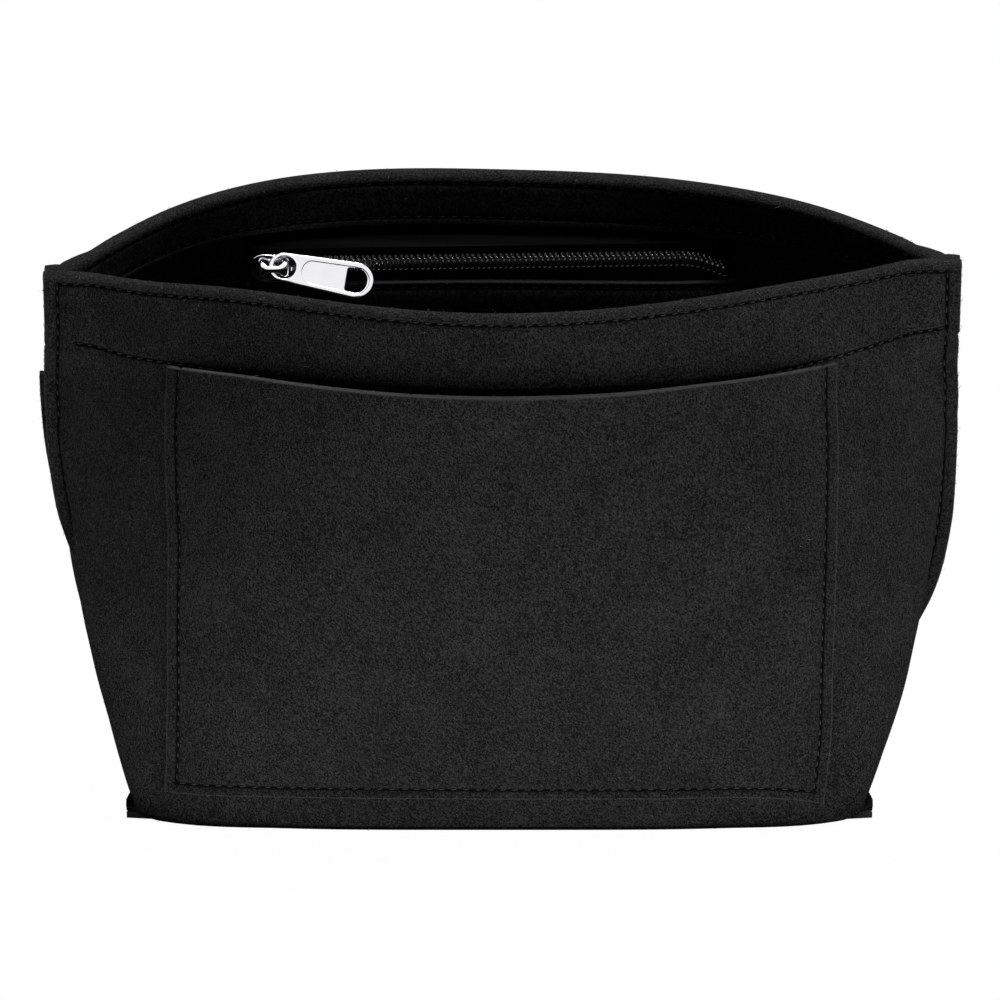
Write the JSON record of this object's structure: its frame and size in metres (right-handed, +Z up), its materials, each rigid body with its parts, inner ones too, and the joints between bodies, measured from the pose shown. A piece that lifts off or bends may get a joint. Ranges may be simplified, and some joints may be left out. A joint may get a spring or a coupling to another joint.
{
  "type": "purse organizer insert",
  "caption": "Felt organizer insert for a handbag: an open box-cornered pouch with patch pockets front and back and a zipped pocket on the inner back wall",
  "frame": {"origin": "centre of the base's underside, on the surface it stands on", "axes": "+X along the rim's length, +Y from the front pocket to the back wall, +Z up"},
  "size_m": [0.2628, 0.1231, 0.1703],
  "materials": {
    "felt": "matt black needled felt, 2 mm",
    "tape": "woven black polyester tape",
    "coil": "satin black nylon monofilament",
    "metal": "bright plated zinc casting"
  },
  "bodies": {
    "pouch": {"front_panel": "felt", "back_panel": "felt", "base_panel": "felt", "front_pocket": "felt", "rear_pocket": "felt", "zip_pocket": "felt", "zip_tape_upper": "tape", "zip_tape_lower": "tape", "zip_coil_upper": "coil", "zip_coil_lower": "coil"},
    "slider": {"slider_body": "metal", "slider_bridge": "metal"},
    "pull": {"pull_tab": "metal"}
  },
  "joints": [
    {"name": "zip_slide", "type": "slide", "parent": "pouch", "child": "slider", "axis": [0.9999, 0, 0.0157], "range_m": [0, 0.115], "deforming": ["zip_coil_upper", "zip_coil_lower"]},
    {"name": "pull_swing", "type": "hinge", "parent": "slider", "child": "pull", "pos_m": [-0.06669, 0.03633, 0.14445], "axis": [-0.1994, 0, -0.9799], "range_deg": [0, 150]}
  ]
}
